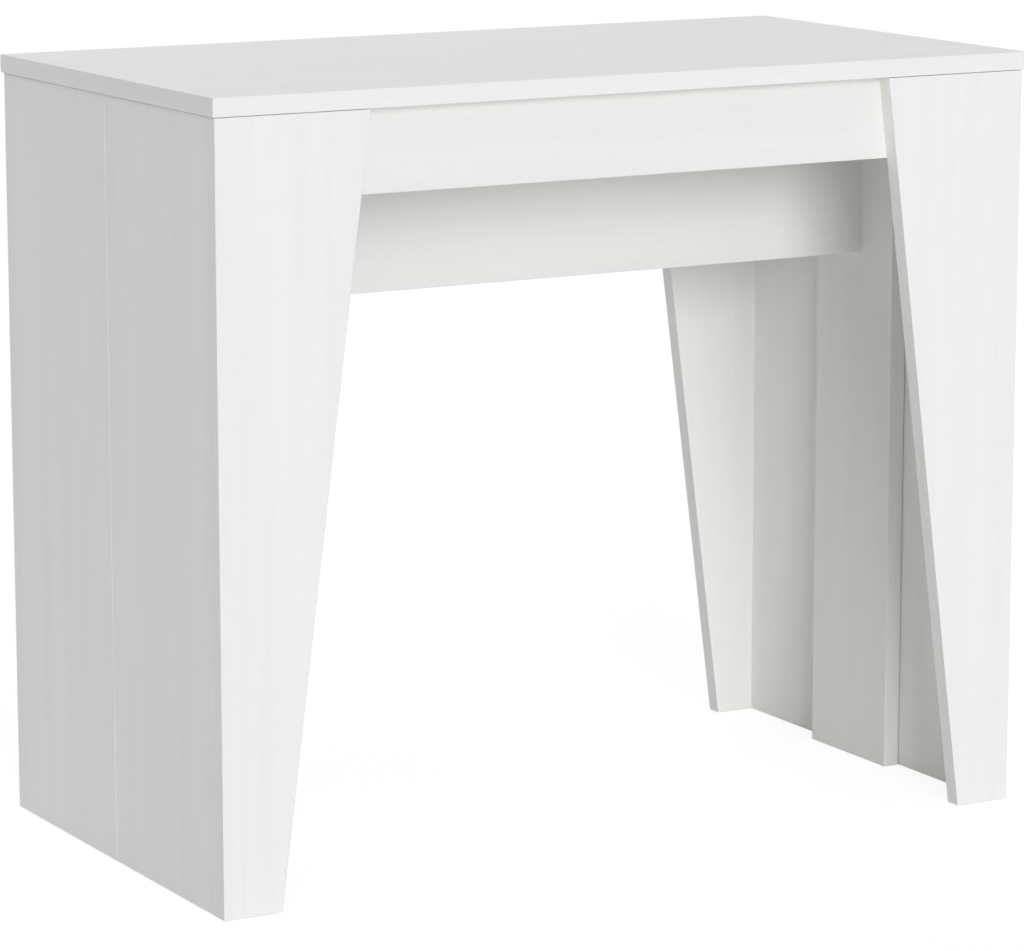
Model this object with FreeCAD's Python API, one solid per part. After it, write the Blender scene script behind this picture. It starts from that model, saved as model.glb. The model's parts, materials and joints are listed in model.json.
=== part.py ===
import FreeCAD, Part
import os

# Extending console table: three leg frames on two packs of telescopic rails.
# Millimetres, X along the front, Y towards the wall, Z up, floor at zero, centred on its footprint.

# Table top and overall size
top_width = 900.0
top_depth = 480.0
table_height = 770.0
top_board = 18.0
top_overhang = 2.5
board_arris = 0.5

# Front and rear leg frames
leg_board = 18.0
leg_top_width = 160.0
leg_foot_width = 61.0
side_board = 18.0
apron_board = 18.0
apron_drop = 82.0

# Centre leg frame
centre_leg_board = 18.0
centre_leg_width = 138.0
cross_board = 18.0
cross_height = 160.0

# Clearances between frames that slide past each other
top_clearance = 0.8
seam_gap = 0.5
centre_leg_clearance = 0.6
cross_rail_clearance = 2.5

# Telescopic rails: each rail's tongue runs in the channel of the rail outside it
stage_count = 6
rail_end_clearance = 1.5
rail_height = 46.0
channel_depth = 10.0
channel_gap = 1.5
channel_wall = 2.0
lip_wall = 1.8
lip_height = 12.0
head_wall = 2.5
head_height = 36.0
stem_height = 12.0
head_lip_clearance = 0.5
front_rail_wall = 4.0
flange_width = 16.0
flange_leg_clearance = 3.0

# Nylon sliders in the front of each channel and on the rear of each tongue;
# they meet end to end when a rail is fully out, which sets the travel of each stage
slider_length = 69.75
slider_running_gap = 0.3
slider_peg_radius = 2.0
slider_peg_height_share = 0.78
peg_clearance = 0.1

# Nylon glides under the legs
glide_height = 1.0
glide_radius = 7.0
glide_edge = 0.4
glide_peg_radius = 2.5
glide_peg_length = 12.0
glide_inset = 30.0

# Beech dowels in the leg corners
dowel_radius = 4.0
dowel_chamfer = 0.8
dowel_grip = 18.0
dowel_skin = 6.0
dowel_clearance = 0.1
dowel_end_gap = 0.5
dowel_height_shares = (0.06, 0.28, 0.5, 0.72, 0.94)

# Wood screws, rail bolts and the long screws of the centre frame
screw_shank_radius = 1.75
screw_head_radius = 3.5
screw_head_height = 2.2
screw_tip = 3.0
bolt_shank_radius = 2.0
bolt_head_radius = 3.4
bolt_head_height = 2.0
bolt_tip = 0.4
long_screw_shank_radius = 2.5
long_screw_head_radius = 4.5
long_screw_tip = 3.0
long_screw_grip = 32.0
screw_skin = 5.0
screw_clearance = 0.05
cut_overrun = 1.0
head_crown_share = 0.62
head_rim_share = 0.4
tip_radius_share = 0.3
recess_length_share = 1.1
recess_width_share = 0.26
recess_depth_share = 0.5
apron_screw_shares = (0.28, 0.68)
rail_screw_shares = (-0.42, 0.0, 0.42)
cross_screw_shares = (0.15, 0.5, 0.85)

# Steel angle brackets
corner_leg = 25.0
corner_wall = 2.0
corner_margin = 6.0
top_leg = 20.0
top_wall = 2.0
top_bracket_width = 20.0
top_bracket_x_share = 0.33
top_bracket_y_share = 0.6
rail_bracket_wall = 2.5
rail_bracket_apron_leg = 40.0
rail_bracket_rail_leg = 60.0
rail_bracket_margin = 4.0
rail_bracket_screw_shares = (0.25, 0.75)
centre_bracket_wall = 3.0
centre_bracket_flange = 60.0
centre_bracket_drop = 52.0
centre_bracket_width = 30.0
centre_bolt_shares = (0.35, 0.8)
centre_screw_shares = (0.4, 0.8)
bracket_hole_share = 0.62

# Planes worked out from the sizes above
frame_half_width = top_width / 2 - top_overhang
frame_half_depth = top_depth / 2 - top_overhang
frame_top = table_height - top_board
sliding_top = frame_top - top_clearance
side_inner = frame_half_width - side_board
leg_inner = frame_half_depth - leg_board
apron_inner = leg_inner - apron_board
apron_bottom = frame_top - apron_drop
centre_outer = side_inner - centre_leg_clearance
centre_inner = centre_outer - centre_leg_board
rail_half = apron_inner - rail_end_clearance
rail_bottom = sliding_top - rail_height
rail_outer = centre_inner - flange_leg_clearance - flange_width
rail_pitch = channel_depth + channel_gap
cross_top = rail_bottom - cross_rail_clearance
cross_bottom = cross_top - cross_height
lip_face = channel_depth - lip_wall
head_face = lip_face - head_lip_clearance
head_back = head_face - head_wall
head_bottom = (rail_height - head_height) / 2
head_top = head_bottom + head_height
stem_bottom = (rail_height - stem_height) / 2
stem_top = stem_bottom + stem_height
centre_stage = stage_count // 2
below_rails = (apron_bottom + rail_bottom) / 2

SIDES = {"left": -1, "right": 1}


def vec(x, y, z):
    return FreeCAD.Vector(x, y, z)


X = vec(1, 0, 0)
Y = vec(0, 1, 0)
Z = vec(0, 0, 1)


def prism(points, sweep):
    """Solid from a closed outline of points, swept along a vector."""
    outline = Part.makePolygon(points + points[:1])
    return Part.Face(outline).extrude(sweep)


def block(x_ends, y_ends, z_ends):
    low = vec(min(x_ends), min(y_ends), min(z_ends))
    high = vec(max(x_ends), max(y_ends), max(z_ends))
    size = high - low
    return Part.makeBox(size.x, size.y, size.z, low)


def ease(board, butts):
    """Break a board's edges by a small arris, but not round a face that butts against another board."""
    butting = [face for face in board.Faces for way in butts if round(face.normalAt(0, 0).dot(way)) == 1]
    sharp = [edge for face in butting for edge in face.Edges]
    free = [edge for edge in board.Edges if not any(edge.isSame(other) for other in sharp)]
    return board.makeChamfer(board_arris, free)


def rod(radius, start, end):
    along = end - start
    return Part.makeCylinder(radius, along.Length, start, along)


def turned(profile):
    """Solid of revolution about Z from a list of radius and height pairs."""
    points = [vec(radius, 0, height) for radius, height in profile]
    return Part.Face(Part.makePolygon(points + points[:1])).revolve(vec(0, 0, 0), Z, 360)


def placed(shape, point, direction):
    shape.Placement = FreeCAD.Placement(point, FreeCAD.Rotation(Z, direction))
    return shape


def angle(corner, leg_a, leg_b, wall, width):
    """Angle bracket: two legs from an outer corner, of one wall, swept across its width."""
    step_a = FreeCAD.Vector(leg_a).normalize() * wall
    step_b = FreeCAD.Vector(leg_b).normalize() * wall
    points = [
        corner,
        corner + leg_a,
        corner + leg_a + step_b,
        corner + step_a + step_b,
        corner + leg_b + step_a,
        corner + leg_b,
    ]
    return prism(points, width)


def carved(shape, holes):
    """Shape with every hole that reaches it cut out."""
    near = [hole for hole in holes if shape.BoundBox.intersect(hole.BoundBox)]
    return shape.cut(near) if near else shape


# Fasteners

def cross_recess(head_radius, depth, top):
    """Two crossed slots sunk into a screw head from its top."""
    half = head_radius * recess_length_share / 2
    slot = head_radius * recess_width_share / 2
    level = (top - cut_overrun, top + depth * recess_depth_share)
    return [block((-half, half), (-slot, slot), level), block((-slot, slot), (-half, half), level)]


class PanScrew:
    """Round-headed screw with its seat under the head."""

    def __init__(self, shank_radius, head_radius, head_height, tip):
        self.shank_radius = shank_radius
        self.head_radius = head_radius
        self.head_height = head_height
        self.tip = tip

    def solid(self, seat, direction, length):
        profile = [
            (0, -self.head_height),
            (self.head_radius * head_crown_share, -self.head_height),
            (self.head_radius, -self.head_height * head_rim_share),
            (self.head_radius, 0),
            (self.shank_radius, 0),
            (self.shank_radius, length - self.tip),
            (self.shank_radius * tip_radius_share, length),
            (0, length),
        ]
        body = turned(profile)
        body = body.cut(cross_recess(self.head_radius, self.head_height, -self.head_height))
        return placed(body, seat, direction)

    def hole(self, seat, direction, length):
        start = seat - direction * cut_overrun
        end = seat + direction * (length + cut_overrun)
        return rod(self.shank_radius + screw_clearance, start, end)


class FlushScrew:
    """Countersunk screw whose head ends level with its seat."""

    def __init__(self, shank_radius, head_radius, tip):
        self.shank_radius = shank_radius
        self.head_radius = head_radius
        self.tip = tip

    def solid(self, seat, direction, length):
        sink = self.head_radius - self.shank_radius
        profile = [
            (0, 0),
            (self.head_radius, 0),
            (self.shank_radius, sink),
            (self.shank_radius, length - self.tip),
            (self.shank_radius * tip_radius_share, length),
            (0, length),
        ]
        body = turned(profile).cut(cross_recess(self.head_radius, sink, 0))
        return placed(body, seat, direction)

    def hole(self, seat, direction, length):
        shank = self.shank_radius + screw_clearance
        head = self.head_radius + screw_clearance
        depth = length + cut_overrun
        profile = [(0, 0), (head, 0), (shank, head - shank), (shank, depth), (0, depth)]
        return placed(turned(profile), seat, direction)


wood_screw = PanScrew(screw_shank_radius, screw_head_radius, screw_head_height, screw_tip)
rail_bolt = PanScrew(bolt_shank_radius, bolt_head_radius, bolt_head_height, bolt_tip)
long_screw = FlushScrew(long_screw_shank_radius, long_screw_head_radius, long_screw_tip)


def fasten(kind, places, length):
    """Solids and matching holes of one kind of screw at a list of seats and directions."""
    solids = [kind.solid(seat, direction, length) for seat, direction in places]
    holes = [kind.hole(seat, direction, length) for seat, direction in places]
    return solids, holes


def glides(places):
    """Nylon glides with a peg each, and the holes for the pegs."""
    profile = [
        (0, 0),
        (glide_radius - glide_edge, 0),
        (glide_radius, glide_edge),
        (glide_radius, glide_height),
        (glide_peg_radius, glide_height),
        (glide_peg_radius, glide_height + glide_peg_length),
        (0, glide_height + glide_peg_length),
    ]
    solids = [placed(turned(profile), vec(x, y, 0), Z) for x, y in places]
    low = glide_height - cut_overrun
    high = glide_height + glide_peg_length + cut_overrun
    radius = glide_peg_radius + peg_clearance
    holes = [rod(radius, vec(x, y, low), vec(x, y, high)) for x, y in places]
    return solids, holes


# Telescopic rails

def rail_point(stage, sign, inward, height, y):
    """Point of a rail's section: distance inwards from its outer web face, height above its base."""
    return vec(sign * (rail_outer - stage * rail_pitch - inward), y, rail_bottom + height)


def rail_section(stage):
    """Outline of one rail as pairs of inward distance and height."""
    channel = [
        (0, 0),
        (channel_depth, 0),
        (channel_depth, channel_wall + lip_height),
        (lip_face, channel_wall + lip_height),
        (lip_face, channel_wall),
        (channel_wall, channel_wall),
        (channel_wall, rail_height - channel_wall),
        (lip_face, rail_height - channel_wall),
        (lip_face, rail_height - channel_wall - lip_height),
        (channel_depth, rail_height - channel_wall - lip_height),
        (channel_depth, rail_height),
    ]
    web = [(0, 0), (front_rail_wall, 0), (front_rail_wall, rail_height), (0, rail_height)]
    flange_top = rail_height + top_clearance
    flange = [
        (channel_wall, rail_height),
        (channel_wall, flange_top),
        (-flange_width, flange_top),
        (-flange_width, flange_top - channel_wall),
        (0, flange_top - channel_wall),
    ]
    tongue = [
        (0, stem_top),
        (head_face - rail_pitch, stem_top),
        (head_face - rail_pitch, head_top),
        (head_back - rail_pitch, head_top),
        (head_back - rail_pitch, head_bottom),
        (head_face - rail_pitch, head_bottom),
        (head_face - rail_pitch, stem_bottom),
        (0, stem_bottom),
    ]
    if stage == 0:
        return channel + flange
    if stage == stage_count:
        return web + tongue
    return channel + [(0, rail_height)] + tongue


def section_sweep(section, stage, sign, y_start, y_end):
    points = [rail_point(stage, sign, inward, height, y_start) for inward, height in section]
    return prism(points, Y * (y_end - y_start))


def channel_slider(stage, sign):
    """Liner clipped into the front end of a rail's channel, and the hole for its peg."""
    low = head_bottom - slider_running_gap
    high = head_top + slider_running_gap
    back = head_back - slider_running_gap
    section = [
        (channel_wall, channel_wall),
        (lip_face, channel_wall),
        (lip_face, low),
        (back, low),
        (back, high),
        (lip_face, high),
        (lip_face, rail_height - channel_wall),
        (channel_wall, rail_height - channel_wall),
    ]
    liner = section_sweep(section, stage, sign, -rail_half, slider_length - rail_half)
    return pegged(liner, stage, sign, slider_length / 2 - rail_half, 0, channel_wall)


def tongue_slider(stage, sign):
    """Shoe clipped onto the rear end of a rail's tongue, and the hole for its peg."""
    outside = stage - 1
    edge = channel_wall + slider_running_gap
    section = [
        (edge, edge),
        (head_face, edge),
        (head_face, head_bottom),
        (head_back, head_bottom),
        (head_back, head_top),
        (head_face, head_top),
        (head_face, rail_height - edge),
        (edge, rail_height - edge),
    ]
    shoe = section_sweep(section, outside, sign, rail_half - slider_length, rail_half)
    return pegged(shoe, outside, sign, rail_half - slider_length / 2, head_face, head_back)


def pegged(slider, stage, sign, y, tip, root):
    """Slider with a round peg between two depths of the section, and the hole that takes it."""
    height = rail_height * slider_peg_height_share
    peg_root = rail_point(stage, sign, root, height, y)
    peg = rod(slider_peg_radius, peg_root, rail_point(stage, sign, tip, height, y))
    reach = cut_overrun if root > tip else -cut_overrun
    start = rail_point(stage, sign, root + reach, height, y)
    end = rail_point(stage, sign, tip - reach, height, y)
    return slider.fuse(peg).removeSplitter(), rod(slider_peg_radius + peg_clearance, start, end)


def rail_name(stage):
    if stage == 0:
        return "fixed_rail"
    if stage == centre_stage:
        return "centre_rail"
    if stage == stage_count:
        return "front_rail"
    return "rail_" + str(stage)


def rail_stage(nodes, stage, bolt_holes):
    """Left and right rails of one stage with their nylon sliders."""
    sliders = []
    for side, sign in SIDES.items():
        pairs = []
        if stage < stage_count:
            pairs.append(channel_slider(stage, sign))
        if stage > 0:
            pairs.append(tongue_slider(stage, sign))
        sliders += [slider for slider, hole in pairs]
        rail = section_sweep(rail_section(stage), stage, sign, -rail_half, rail_half)
        holes = [hole for slider, hole in pairs] + bolt_holes
        nodes[side + "_" + rail_name(stage)] = [carved(rail, holes)]
    nodes[rail_name(stage) + "_sliders"] = sliders


# Front and rear leg frames

def corner_dowels(facing):
    """Dowels between a leg panel and its side panel, and their holes."""
    solids = []
    holes = []
    tip = facing * (frame_half_depth - dowel_skin)
    root = facing * (leg_inner - dowel_grip)
    for sign in SIDES.values():
        x = sign * (frame_half_width - side_board / 2)
        for share in dowel_height_shares:
            z = glide_height + share * (sliding_top - glide_height)
            dowel = rod(dowel_radius, vec(x, root, z), vec(x, tip, z))
            rims = [edge for edge in dowel.Edges if edge.Closed and len(edge.Vertexes) == 1]
            solids.append(dowel.makeChamfer(dowel_chamfer, rims))
            gap = Y * facing * dowel_end_gap
            holes.append(rod(dowel_radius + dowel_clearance, vec(x, root, z) - gap, vec(x, tip, z) + gap))
    return solids, holes


def leg_frame(nodes, name, facing, apron_top, extra_holes):
    """Two flared leg panels, two side panels and an apron, with their joints and glides."""
    room = side_inner - (frame_half_width - leg_top_width)
    apron_places = [
        (vec(sign * (side_inner - share * room), facing * apron_inner, below_rails), Y * facing)
        for sign in SIDES.values()
        for share in apron_screw_shares
    ]
    apron_screws, apron_holes = fasten(wood_screw, apron_places, apron_board + leg_board - screw_skin)

    bracket_low = apron_bottom + corner_margin
    bracket_height = rail_bottom - corner_margin - bracket_low
    reach = corner_leg * bracket_hole_share
    brackets = []
    apron_side = []
    panel_side = []
    for sign in SIDES.values():
        corner = vec(sign * side_inner, facing * apron_inner, bracket_low)
        along_apron = X * -sign * corner_leg
        along_panel = Y * -facing * corner_leg
        brackets.append(angle(corner, along_apron, along_panel, corner_wall, Z * bracket_height))
        seat = vec(sign * (side_inner - reach), facing * (apron_inner - corner_wall), below_rails)
        apron_side.append((seat, Y * facing))
        seat = vec(sign * (side_inner - corner_wall), facing * (apron_inner - reach), below_rails)
        panel_side.append((seat, X * sign))
    screws_a, holes_a = fasten(wood_screw, apron_side, corner_wall + apron_board - screw_skin)
    screws_b, holes_b = fasten(wood_screw, panel_side, corner_wall + side_board - screw_skin)
    bracket_holes = holes_a + holes_b

    feet = []
    for sign in SIDES.values():
        x_foot = frame_half_width - leg_foot_width / 2
        feet.append((sign * x_foot, facing * (frame_half_depth - leg_board / 2)))
        x_side = frame_half_width - side_board / 2
        feet.append((sign * x_side, facing * (seam_gap / 2 + glide_inset)))
    feet_solids, feet_holes = glides(feet)

    dowels, dowel_holes = corner_dowels(facing)
    holes = apron_holes + bracket_holes + feet_holes + dowel_holes + extra_holes
    y_leg = (facing * frame_half_depth, facing * leg_inner)
    for side, sign in SIDES.items():
        outline = [
            vec(sign * frame_half_width, y_leg[0], glide_height),
            vec(sign * frame_half_width, y_leg[0], sliding_top),
            vec(sign * (frame_half_width - leg_top_width), y_leg[0], sliding_top),
            vec(sign * (frame_half_width - leg_foot_width), y_leg[0], glide_height),
        ]
        leg = ease(prism(outline, Y * -facing * leg_board), [])
        nodes[name + "_" + side + "_leg_panel"] = [carved(leg, holes)]
        x_side = (sign * frame_half_width, sign * side_inner)
        y_side = (facing * leg_inner, facing * seam_gap / 2)
        panel = ease(block(x_side, y_side, (glide_height, sliding_top)), [Y * facing])
        nodes[name + "_" + side + "_side_panel"] = [carved(panel, holes)]
    y_apron = (facing * leg_inner, facing * apron_inner)
    apron = ease(block((-side_inner, side_inner), y_apron, (apron_bottom, apron_top)), [X, -X])
    nodes[name + "_apron"] = [carved(apron, holes)]
    nodes[name + "_corner_dowels"] = dowels
    nodes[name + "_apron_screws"] = apron_screws
    nodes[name + "_corner_brackets"] = [carved(bracket, bracket_holes) for bracket in brackets]
    nodes[name + "_corner_bracket_screws"] = screws_a + screws_b
    nodes[name + "_glides"] = feet_solids


# Table top on the rear leg frame

def table_top(nodes):
    """Top board, its angle brackets and screws; returns the holes that the rear frame shares."""
    reach = top_leg * bracket_hole_share
    brackets = []
    up = []
    back = []
    out = []
    half = top_bracket_width / 2
    for sign in SIDES.values():
        x = sign * top_bracket_x_share * frame_half_width
        corner = vec(x - half, apron_inner, frame_top)
        brackets.append(angle(corner, Y * -top_leg, Z * -top_leg, top_wall, X * top_bracket_width))
        up.append((vec(x, apron_inner - reach, frame_top - top_wall), Z))
        back.append((vec(x, apron_inner - top_wall, frame_top - reach), Y))
        y = top_bracket_y_share * leg_inner
        corner = vec(sign * side_inner, y - half, frame_top)
        brackets.append(angle(corner, X * -sign * top_leg, Z * -top_leg, top_wall, Y * top_bracket_width))
        up.append((vec(sign * (side_inner - reach), y, frame_top - top_wall), Z))
        out.append((vec(sign * (side_inner - top_wall), y, frame_top - reach), X * sign))
    up_screws, up_holes = fasten(wood_screw, up, top_wall + top_board - screw_skin)
    back_screws, back_holes = fasten(wood_screw, back, top_wall + apron_board - screw_skin)
    out_screws, out_holes = fasten(wood_screw, out, top_wall + side_board - screw_skin)
    bracket_holes = up_holes + back_holes + out_holes

    flange_seats = [
        (vec(sign * (rail_outer + flange_width / 2), share * 2 * rail_half, frame_top - channel_wall), Z)
        for sign in SIDES.values()
        for share in rail_screw_shares
    ]
    rail_screws, rail_holes = fasten(wood_screw, flange_seats, channel_wall + top_board - screw_skin)

    half_width = top_width / 2
    half_depth = top_depth / 2
    board = block((-half_width, half_width), (-half_depth, half_depth), (frame_top, table_height))
    board = ease(board, [])
    nodes["table_top"] = [carved(board, up_holes + rail_holes)]
    nodes["top_brackets"] = [carved(bracket, bracket_holes) for bracket in brackets]
    nodes["top_bracket_screws"] = up_screws + back_screws + out_screws
    nodes["fixed_rail_screws"] = rail_screws
    return bracket_holes, rail_holes


# Centre leg frame under the middle rails

def centre_frame(nodes):
    """Two flat legs, a cross panel and its rail brackets; returns the bolt holes in the rail."""
    leg_seats = [
        (vec(sign * centre_outer, 0, cross_bottom + share * cross_height), X * -sign)
        for sign in SIDES.values()
        for share in cross_screw_shares
    ]
    leg_screws, leg_holes = fasten(long_screw, leg_seats, centre_leg_board + long_screw_grip)
    foot = centre_leg_width / 2 - glide_inset
    x_foot = centre_outer - centre_leg_board / 2
    feet = [(sign * x_foot, y) for sign in SIDES.values() for y in (-foot, foot)]
    feet_solids, feet_holes = glides(feet)

    wall = centre_bracket_wall
    panel_back = cross_board / 2
    plates = []
    bolt_seats = []
    screw_seats = []
    for sign in SIDES.values():
        x = sign * (rail_outer - centre_stage * rail_pitch - channel_depth / 2)
        corner = vec(x - channel_depth / 2, panel_back, rail_bottom)
        arm = angle(corner, Y * centre_bracket_flange, Z * -centre_bracket_drop, wall, X * channel_depth)
        half = centre_bracket_width / 2
        low = rail_bottom - centre_bracket_drop
        foot_plate = block((x - half, x + half), (panel_back, panel_back + wall), (low, cross_top))
        plates.append(arm.fuse(foot_plate).removeSplitter())
        for share in centre_bolt_shares:
            bolt_seats.append((vec(x, panel_back + share * centre_bracket_flange, rail_bottom - wall), Z))
        for share in centre_screw_shares:
            screw_seats.append((vec(x, panel_back + wall, rail_bottom - share * centre_bracket_drop), -Y))
    bolts, bolt_holes = fasten(rail_bolt, bolt_seats, wall + channel_wall)
    screws, screw_holes = fasten(wood_screw, screw_seats, wall + cross_board - screw_skin)

    holes = leg_holes + feet_holes + screw_holes
    y_leg = (-centre_leg_width / 2, centre_leg_width / 2)
    for side, sign in SIDES.items():
        leg = block((sign * centre_inner, sign * centre_outer), y_leg, (glide_height, sliding_top))
        leg = ease(leg, [])
        nodes["centre_" + side + "_leg"] = [carved(leg, holes)]
    panel = block((-centre_inner, centre_inner), (-panel_back, panel_back), (cross_bottom, cross_top))
    panel = ease(panel, [X, -X])
    nodes["centre_cross_panel"] = [carved(panel, holes)]
    nodes["centre_leg_screws"] = leg_screws
    nodes["centre_glides"] = feet_solids
    nodes["centre_rail_brackets"] = [carved(plate, bolt_holes + screw_holes) for plate in plates]
    nodes["centre_bracket_screws"] = screws
    nodes["centre_rail_bolts"] = bolts
    return bolt_holes


# Brackets between the front rails and the front apron

def front_rail_brackets(nodes):
    """Angle brackets with their screws and bolts; returns apron holes and rail holes."""
    low = rail_bottom + rail_bracket_margin
    height = rail_height - 2 * rail_bracket_margin
    inner = rail_outer - stage_count * rail_pitch - front_rail_wall
    brackets = []
    screw_seats = []
    bolt_seats = []
    for sign in SIDES.values():
        corner = vec(sign * inner, -apron_inner, low)
        along_apron = X * -sign * rail_bracket_apron_leg
        along_rail = Y * rail_bracket_rail_leg
        brackets.append(angle(corner, along_apron, along_rail, rail_bracket_wall, Z * height))
        for share in rail_bracket_screw_shares:
            z = low + share * height
            x = sign * (inner - bracket_hole_share * rail_bracket_apron_leg)
            screw_seats.append((vec(x, rail_bracket_wall - apron_inner, z), -Y))
            y = bracket_hole_share * rail_bracket_rail_leg - apron_inner
            bolt_seats.append((vec(sign * (inner - rail_bracket_wall), y, z), X * sign))
    screws, screw_holes = fasten(wood_screw, screw_seats, rail_bracket_wall + apron_board - screw_skin)
    bolts, bolt_holes = fasten(rail_bolt, bolt_seats, rail_bracket_wall + front_rail_wall)
    nodes["front_rail_brackets"] = [carved(bracket, screw_holes + bolt_holes) for bracket in brackets]
    nodes["front_rail_bracket_screws"] = screws
    nodes["front_rail_bolts"] = bolts
    return screw_holes, bolt_holes


def build():
    nodes = {}
    top_bracket_holes, flange_holes = table_top(nodes)
    leg_frame(nodes, "rear", 1, frame_top, top_bracket_holes)
    apron_holes, front_bolt_holes = front_rail_brackets(nodes)
    leg_frame(nodes, "front", -1, sliding_top, apron_holes)
    centre_bolt_holes = centre_frame(nodes)
    bolt_holes = {0: flange_holes, centre_stage: centre_bolt_holes, stage_count: front_bolt_holes}
    for stage in range(stage_count + 1):
        rail_stage(nodes, stage, bolt_holes.get(stage, []))
    return nodes


os.makedirs("parts", exist_ok=True)
for node, solids in build().items():
    shape = solids[0] if len(solids) == 1 else Part.makeCompound(solids)
    shape.exportStep("parts/" + node + ".step")
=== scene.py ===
"""Looks of the extending console table: finishes for every node, a plain white studio and the camera."""

import json
import math

import bpy
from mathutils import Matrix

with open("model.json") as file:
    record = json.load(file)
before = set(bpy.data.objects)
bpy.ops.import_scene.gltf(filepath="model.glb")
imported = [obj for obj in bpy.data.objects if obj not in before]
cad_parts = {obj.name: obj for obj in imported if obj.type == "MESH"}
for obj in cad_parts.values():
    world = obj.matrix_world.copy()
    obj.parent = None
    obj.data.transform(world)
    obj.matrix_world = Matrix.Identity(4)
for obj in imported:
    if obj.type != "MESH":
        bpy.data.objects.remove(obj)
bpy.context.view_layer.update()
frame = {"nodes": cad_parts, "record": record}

# Camera, in metres and degrees: it stands in front of the left corner and looks a little down
camera_place = (-2.191, -3.828, 1.186)
camera_yaw = 29.75
camera_pitch = 10.83
camera_lens_mm = 156.0
camera_reach = 100.0

# Light: an even sky, a softbox in front and broad lamps high on the left, low on the right and behind;
# angles in degrees, with azimuth 0 straight in front of the table and 90 on its right
light_colour = (0.980, 0.980, 1.048)
sky_strength = 0.25
lamps = {
    "softbox": {"strength": 1.55, "spread": 26.0, "azimuth": -14.0, "height": 12.0},
    "fill_light": {"strength": 0.575, "spread": 60.0, "azimuth": -30.0, "height": 60.0},
    "side_light": {"strength": 0.45, "spread": 40.0, "azimuth": 95.0, "height": 10.0},
    "back_light": {"strength": 1.12, "spread": 60.0, "azimuth": 170.0, "height": 30.0},
}

# An untilted lamp or camera points straight down; with this tilt, in degrees, it points at the horizon
level_tilt = 90.0

# Floor, with half its width in metres: its glow and its tone under the lamps show as white together, and
# a little darker in the object's shadow; its reflectance is the share of light that it gives back
floor_half_width = 40.0
floor_glow = 0.84
floor_tone = 0.25
floor_reflectance = 0.92

# White ash: its colours, with painted light and shade for each kind of board, and its matt gloss
ash_light = (0.911, 0.912, 0.856)
ash_dark = (0.731, 0.733, 0.677)
top_painted_light, apron_painted_light, cross_painted_light = 1.007, 0.978, 1.012
leg_painted_light, side_painted_light, centre_leg_painted_light = 1.010, 1.030, 1.004
ash_roughness = (0.68, 0.76)
ash_specular = 0.30

# Its grain, in metres: a slow drift bends wide bands, fine streaks and pores that crowd in the bands
drift_length, drift_width, drift_detail = 0.75, 0.11, 2.0
drift_reach = 0.050
band_length, band_width, band_detail = 0.90, 0.022, 1.0
streak_length, streak_width, streak_detail = 0.36, 0.006, 3.0
pore_length, pore_width, pore_detail = 0.050, 0.0010, 2.0
pore_range = (0.52, 0.70)
pore_in_band = 0.60
pore_depth = 0.00005
pore_share, band_share, streak_share = 0.16, 0.30, 0.15
noise_mean = 0.5

# A face counts as a board's end where its normal leans this far towards the grain
ash_end_slope = 0.75

# Aluminium of the rails, with its die lines in metres
aluminium_light = (0.80, 0.81, 0.82)
aluminium_dark = (0.66, 0.67, 0.69)
aluminium_roughness = (0.30, 0.44)
die_line_length, die_line_width, die_line_detail = 0.60, 0.0006, 3.0
die_line_depth = 0.00002

# Zinc-plated steel of the brackets, screws and bolts, with its patches in metres
zinc_light = (0.72, 0.73, 0.75)
zinc_dark = (0.55, 0.56, 0.59)
zinc_roughness = (0.22, 0.40)
zinc_patch, zinc_detail = 0.0020, 4.0

# Nylon of the sliders and glides, with its patches in metres
nylon_light = (0.86, 0.86, 0.83)
nylon_dark = (0.76, 0.76, 0.72)
nylon_roughness = (0.38, 0.52)
nylon_patch, nylon_detail = 0.0030, 3.0

# Beech of the dowels, with its flecks in metres
beech_light = (0.70, 0.50, 0.32)
beech_dark = (0.50, 0.33, 0.19)
beech_roughness = (0.55, 0.70)
fleck_length, fleck_width, fleck_detail = 0.004, 0.0006, 2.0
fleck_range = (0.52, 0.70)
fleck_depth = 0.00003


def grey(level):
    """A colour without hue, white at level 1."""
    return (level, level, level)


def with_painted_light(colour, painted_light):
    """A colour made lighter or darker by a factor of painted light and shade."""
    return tuple(channel * painted_light for channel in colour)


def opaque(colour):
    """A colour with the alpha that a colour socket holds."""
    return (*colour, 1.0)


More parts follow.
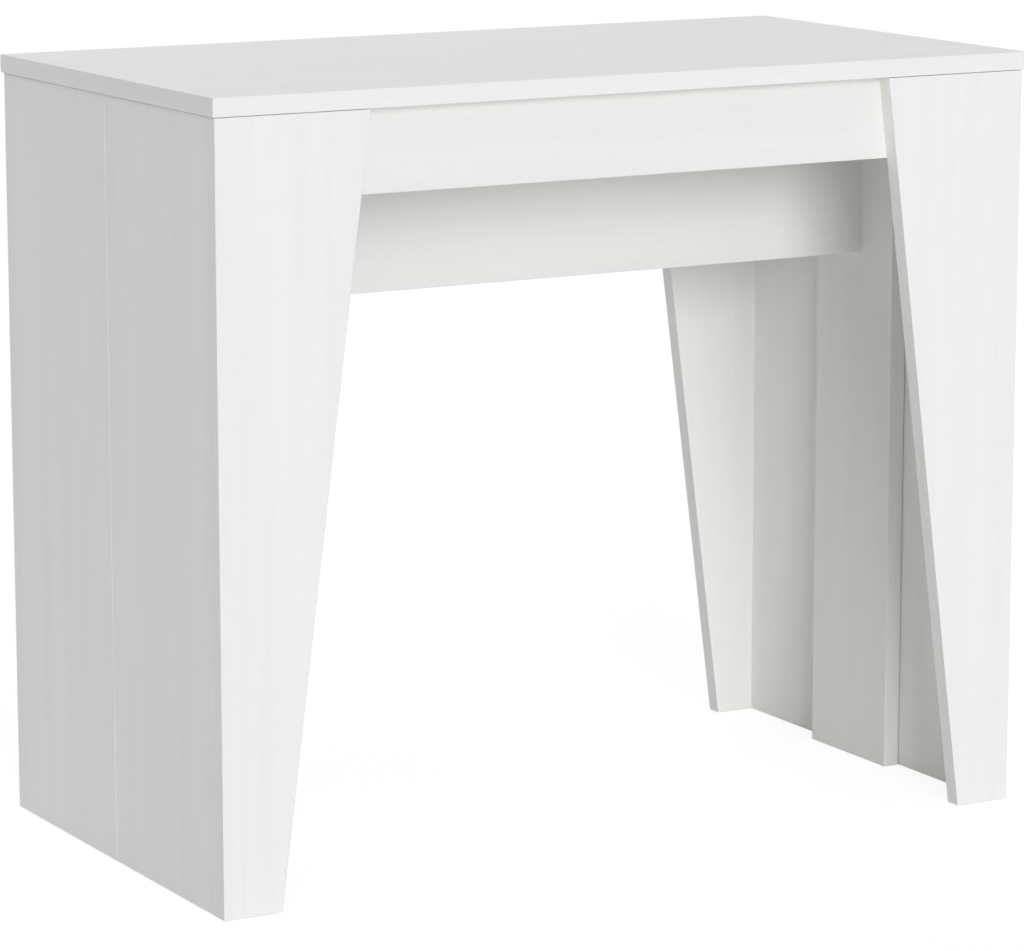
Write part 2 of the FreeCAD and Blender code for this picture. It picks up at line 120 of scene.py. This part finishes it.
class Surface:
    """A node material in the making, with short ways to add its nodes."""

    def __init__(self, name):
        self.material = bpy.data.materials.new(name)
        self.material.use_nodes = True
        self.tree = self.material.node_tree
        self.shader = self.tree.nodes["Principled BSDF"]
        self.coordinates = self.tree.nodes.new("ShaderNodeTexCoord").outputs

    def node(self, kind, settings, inputs):
        """A new node; an input is linked when it is given a socket, and set when it is given a value."""
        made = self.tree.nodes.new(kind)
        for name, value in settings.items():
            setattr(made, name, value)
        for name, value in inputs.items():
            if isinstance(value, bpy.types.NodeSocket):
                self.tree.links.new(value, made.inputs[name])
            else:
                made.inputs[name].default_value = value
        return made

    def math(self, operation, *values):
        """The result of one sum on sockets or numbers."""
        made = self.node("ShaderNodeMath", {"operation": operation}, dict(enumerate(values)))
        return made.outputs["Value"]

    def split(self, vector):
        """The X, Y and Z of a vector."""
        return self.node("ShaderNodeSeparateXYZ", {}, {"Vector": vector}).outputs

    def join(self, x, y, z):
        """A vector from its X, Y and Z."""
        return self.node("ShaderNodeCombineXYZ", {}, {"X": x, "Y": y, "Z": z}).outputs["Vector"]

    def noise(self, vector, sizes, detail):
        """Noise from 0 to 1 with cells of the given sizes along X, Y and Z."""
        cells = self.node("ShaderNodeVectorMath", {"operation": "DIVIDE"}, {0: vector, 1: sizes})
        inputs = {"Vector": cells.outputs["Vector"], "Scale": 1.0, "Detail": detail}
        return self.node("ShaderNodeTexNoise", {}, inputs).outputs["Fac"]

    def ranged(self, value, start, end):
        """The value between two marks, brought smoothly from 0 at the first to 1 at the second."""
        inputs = {"Value": value, "From Min": start, "From Max": end}
        made = self.node("ShaderNodeMapRange", {"interpolation_type": "SMOOTHSTEP"}, inputs)
        return made.outputs["Result"]

    def spread(self, value, low, high):
        """A value from 0 to 1 spread between two numbers."""
        inputs = {"Value": value, "To Min": low, "To Max": high}
        return self.node("ShaderNodeMapRange", {}, inputs).outputs["Result"]

    def between(self, factor, first, second):
        """The first vector where the factor is 0, the second where it is 1."""
        made = self.node("ShaderNodeMix", {"data_type": "VECTOR"}, {"Factor": factor})
        # The vector inputs are a factor for each axis, which isn't used here, and then A and B
        vector_a, vector_b = [socket for socket in made.inputs if socket.type == "VECTOR"][-2:]
        self.tree.links.new(first, vector_a)
        self.tree.links.new(second, vector_b)
        return next(socket for socket in made.outputs if socket.type == "VECTOR")

    def tint(self, factor, light, dark):
        """Links the base colour to a mix of two colours."""
        made = self.node("ShaderNodeMix", {"data_type": "RGBA"}, {"Factor": factor})
        colour_a, colour_b = [socket for socket in made.inputs if socket.type == "RGBA"]
        colour_a.default_value = opaque(light)
        colour_b.default_value = opaque(dark)
        result = next(socket for socket in made.outputs if socket.type == "RGBA")
        self.tree.links.new(result, self.shader.inputs["Base Color"])

    def gloss(self, factor, roughness):
        """Links the roughness to a factor spread between two values."""
        self.tree.links.new(self.spread(factor, *roughness), self.shader.inputs["Roughness"])

    def relief(self, height, depth):
        """Bumps the surface outwards by a height from 0 to 1 times a depth in metres."""
        made = self.node("ShaderNodeBump", {}, {"Strength": 1.0, "Distance": depth, "Height": height})
        self.tree.links.new(made.outputs["Normal"], self.shader.inputs["Normal"])


def white_ash(name, along, end_along, painted_light):
    """Ash-effect melamine whose grain runs along one axis, and on the board's ends along another."""
    surface = Surface(name)
    place = surface.split(surface.coordinates["Object"])
    facing = surface.split(surface.coordinates["Normal"])

    def laid(axis):
        """The place on the board, with this axis first."""
        others = [place[letter] for letter in "XYZ" if letter != axis]
        return surface.join(place[axis], *others)

    is_end = surface.math("GREATER_THAN", surface.math("ABSOLUTE", facing[along]), ash_end_slope)
    straight = surface.between(is_end, laid(along), laid(end_along))

    wander = surface.noise(straight, (drift_length, drift_width, drift_width), drift_detail)
    drift = surface.math("MULTIPLY", surface.math("SUBTRACT", wander, noise_mean), drift_reach)
    lengthwise, across, deep = surface.split(straight)
    bent = surface.join(lengthwise, surface.math("ADD", across, drift), surface.math("ADD", deep, drift))

    band = surface.noise(bent, (band_length, band_width, band_width), band_detail)
    streak = surface.noise(bent, (streak_length, streak_width, streak_width), streak_detail)
    strokes = surface.noise(bent, (pore_length, pore_width, pore_width), pore_detail)
    crowding = surface.spread(band, 1.0 - pore_in_band, 1.0)
    pore = surface.math("MULTIPLY", surface.ranged(strokes, *pore_range), crowding)

    shade = surface.math("MULTIPLY", pore, pore_share)
    shade = surface.math("MULTIPLY_ADD", band, band_share, shade)
    shade = surface.math("MULTIPLY_ADD", streak, streak_share, shade)
    # The board's factor paints light and shade into its colours: lighter or darker as light falls on that
    # kind of board
    surface.tint(shade, with_painted_light(ash_light, painted_light), with_painted_light(ash_dark, painted_light))
    surface.gloss(pore, ash_roughness)
    surface.shader.inputs["Specular IOR Level"].default_value = ash_specular
    surface.relief(surface.math("SUBTRACT", 1.0, pore), pore_depth)
    return surface.material


def aluminium():
    """Mill-finish extrusion: fine die lines along the rails."""
    surface = Surface("aluminium")
    cells = (die_line_width, die_line_length, die_line_width)
    lines = surface.noise(surface.coordinates["Object"], cells, die_line_detail)
    surface.tint(lines, aluminium_light, aluminium_dark)
    surface.gloss(lines, aluminium_roughness)
    surface.shader.inputs["Metallic"].default_value = 1.0
    surface.relief(lines, die_line_depth)
    return surface.material


def zinc_steel():
    """Bright zinc plate with a soft mottle."""
    surface = Surface("zinc_steel")
    cells = (zinc_patch, zinc_patch, zinc_patch)
    mottle = surface.noise(surface.coordinates["Object"], cells, zinc_detail)
    surface.tint(mottle, zinc_light, zinc_dark)
    surface.gloss(mottle, zinc_roughness)
    surface.shader.inputs["Metallic"].default_value = 1.0
    return surface.material


def nylon():
    """Natural moulded nylon, slightly cloudy."""
    surface = Surface("nylon")
    cells = (nylon_patch, nylon_patch, nylon_patch)
    cloud = surface.noise(surface.coordinates["Object"], cells, nylon_detail)
    surface.tint(cloud, nylon_light, nylon_dark)
    surface.gloss(cloud, nylon_roughness)
    return surface.material


def beech():
    """Bare beech dowels with short dark flecks along them."""
    surface = Surface("beech")
    cells = (fleck_width, fleck_length, fleck_width)
    flecks = surface.noise(surface.coordinates["Object"], cells, fleck_detail)
    surface.tint(surface.ranged(flecks, *fleck_range), beech_light, beech_dark)
    surface.gloss(flecks, beech_roughness)
    surface.relief(flecks, fleck_depth)
    return surface.material


def finish_nodes():
    """Gives every node its material: a board's by the end of its name, the others by their slot."""
    boards = {
        # Each kind of board has its own factor of painted light and shade in its copy of white ash
        "table_top": white_ash("white_ash_top", "X", "Y", top_painted_light),
        "_apron": white_ash("white_ash_apron", "X", "Z", apron_painted_light),
        "_cross_panel": white_ash("white_ash_cross", "X", "Z", cross_painted_light),
        "_leg_panel": white_ash("white_ash_leg", "Z", "X", leg_painted_light),
        "_side_panel": white_ash("white_ash_side", "Z", "Y", side_painted_light),
        "_leg": white_ash("white_ash_centre_leg", "Z", "Y", centre_leg_painted_light),
    }
    plain = {"aluminium": aluminium(), "zinc_steel": zinc_steel(), "nylon": nylon(), "beech": beech()}
    for row in frame["record"]["subparts"]:
        name, slot = row["node"], row["material_slot"]
        if slot in plain:
            material = plain[slot]
        else:
            material = next(board for ending, board in boards.items() if name.endswith(ending))
        mesh = frame["nodes"][name].data
        mesh.materials.clear()
        mesh.materials.append(material)


def background_rays(tree):
    """A factor that is 1 for rays that see the background: from the camera, off gloss or through glass."""
    path = tree.nodes.new("ShaderNodeLightPath").outputs
    factor = path["Is Camera Ray"]
    for kind in ("Is Glossy Ray", "Is Transmission Ray"):
        either = tree.nodes.new("ShaderNodeMath")
        either.operation = "MAXIMUM"
        tree.links.new(factor, either.inputs[0])
        tree.links.new(path[kind], either.inputs[1])
        factor = either.outputs["Value"]
    return factor


def link_backdrop(tree, lighting, seen, output):
    """Sends one shader to the output for the light that it gives, and another for the rays that see it."""
    mix = tree.nodes.new("ShaderNodeMixShader")
    tree.links.new(background_rays(tree), mix.inputs["Fac"])
    tree.links.new(lighting, mix.inputs[1])
    tree.links.new(seen, mix.inputs[2])
    tree.links.new(mix.outputs["Shader"], tree.nodes[output].inputs["Surface"])


def sky():
    """An even sky that lights the object, seen as plain white."""
    world = bpy.data.worlds.new("studio")
    world.use_nodes = True
    tree = world.node_tree
    light = tree.nodes["Background"]
    light.inputs["Color"].default_value = opaque(light_colour)
    light.inputs["Strength"].default_value = sky_strength
    white = tree.nodes.new("ShaderNodeBackground")
    white.inputs["Color"].default_value = opaque(grey(1.0))
    link_backdrop(tree, light.outputs["Background"], white.outputs["Background"], "World Output")
    bpy.context.scene.world = world


def floor():
    """A wide floor that is seen white with a faint shadow of the object, and gives light back to it."""
    half = floor_half_width
    mesh = bpy.data.meshes.new("studio_floor")
    corners = [(-half, -half, 0), (half, -half, 0), (half, half, 0), (-half, half, 0)]
    mesh.from_pydata(corners, [], [(0, 1, 2, 3)])
    piece = bpy.data.objects.new("studio_floor", mesh)
    bpy.context.scene.collection.objects.link(piece)

    material = bpy.data.materials.new("studio_floor")
    material.use_nodes = True
    tree = material.node_tree
    tree.nodes.remove(tree.nodes["Principled BSDF"])
    glow = tree.nodes.new("ShaderNodeEmission")
    glow.inputs["Strength"].default_value = floor_glow
    shadow = tree.nodes.new("ShaderNodeBsdfDiffuse")
    shadow.inputs["Color"].default_value = opaque(grey(floor_tone))
    seen = tree.nodes.new("ShaderNodeAddShader")
    tree.links.new(glow.outputs["Emission"], seen.inputs[0])
    tree.links.new(shadow.outputs["BSDF"], seen.inputs[1])
    bounce = tree.nodes.new("ShaderNodeBsdfDiffuse")
    bounce.inputs["Color"].default_value = opaque(grey(floor_reflectance))
    link_backdrop(tree, bounce.outputs["BSDF"], seen.outputs["Shader"], "Material Output")
    mesh.materials.append(material)


def aimed(name, data, down, left):
    """A lamp or camera in the scene, aimed down and to the left of straight back by angles in degrees."""
    piece = bpy.data.objects.new(name, data)
    piece.rotation_euler = (math.radians(level_tilt - down), 0.0, math.radians(left))
    bpy.context.scene.collection.objects.link(piece)
    return piece


def lamp(name, strength, spread, azimuth, height):
    """A distant lamp as wide as its spread, which shines on the table from an azimuth and a height."""
    data = bpy.data.lights.new(name, "SUN")
    data.energy = strength
    data.color = light_colour
    data.angle = math.radians(spread)
    aimed(name, data, height, azimuth)


def camera():
    """The camera that sees the whole table from the front left."""
    data = bpy.data.cameras.new("camera")
    data.lens = camera_lens_mm
    data.clip_end = camera_reach
    piece = aimed("camera", data, camera_pitch, -camera_yaw)
    piece.location = camera_place
    bpy.context.scene.camera = piece


finish_nodes()
sky()
floor()
for lamp_name, settings in lamps.items():
    lamp(lamp_name, **settings)
camera()
bpy.context.scene.view_settings.view_transform = "Standard"
